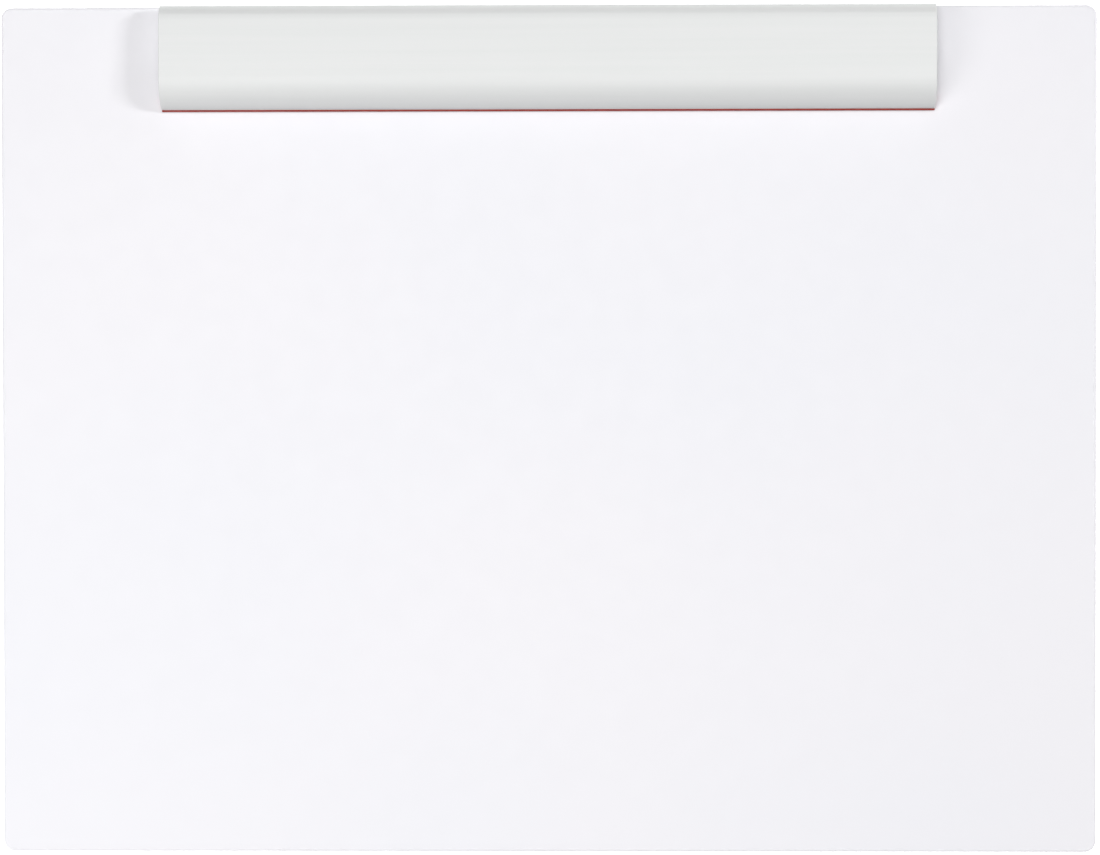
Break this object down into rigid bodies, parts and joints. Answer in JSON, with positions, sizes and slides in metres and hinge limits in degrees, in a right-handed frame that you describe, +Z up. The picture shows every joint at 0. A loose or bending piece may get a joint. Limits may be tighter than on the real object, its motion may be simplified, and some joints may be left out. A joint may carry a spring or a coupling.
{
  "type": "portable drawing board",
  "caption": "Flat rectangular drawing board for landscape A3 sheets, with a long sprung clamp bar along its back edge that grips the sheet under a rubber lip.",
  "frame": {"origin": "on the table under the middle of the board, level with the undersides of its feet", "axes": "+X along the clamp and the board's long side, +Y towards the edge with the clamp, +Z up from the table"},
  "size_m": [0.44, 0.34, 0.02],
  "materials": {
    "white_board": "smooth satin white",
    "anodised_aluminium": "fine satin, clear anodised",
    "red_rubber": "matte",
    "foot_rubber": "matte",
    "plated_steel": "bright zinc plating",
    "spring_wire": "drawn spring wire"
  },
  "bodies": {
    "board": {"board_panel": "white_board", "foot_front_left": "foot_rubber", "foot_front_right": "foot_rubber", "foot_back_left": "foot_rubber", "foot_back_right": "foot_rubber", "rivet_1": "plated_steel", "rivet_2": "plated_steel", "rivet_3": "plated_steel", "rivet_4": "plated_steel", "rivet_5": "plated_steel", "rivet_6": "plated_steel", "rivet_washer_1": "plated_steel", "rivet_washer_2": "plated_steel", "rivet_washer_3": "plated_steel", "rivet_washer_4": "plated_steel", "rivet_washer_5": "plated_steel", "rivet_washer_6": "plated_steel", "base_rail": "plated_steel", "torsion_spring_left": "spring_wire", "torsion_spring_centre": "spring_wire", "torsion_spring_right": "spring_wire"},
    "clamp": {"clamp_cover": "anodised_aluminium", "grip_strip": "red_rubber", "hinge_rod": "plated_steel"}
  },
  "joints": [
    {"name": "clamp_pivot", "type": "hinge", "parent": "board", "child": "clamp", "pos_m": [0, 0.1525, 0.0129], "axis": [-1, 0, 0], "range_deg": [0, 20], "stiffness_Nm_per_rad": 0.9, "springref_deg": -28.65, "deforming": ["torsion_spring_left", "torsion_spring_centre", "torsion_spring_right"]}
  ]
}
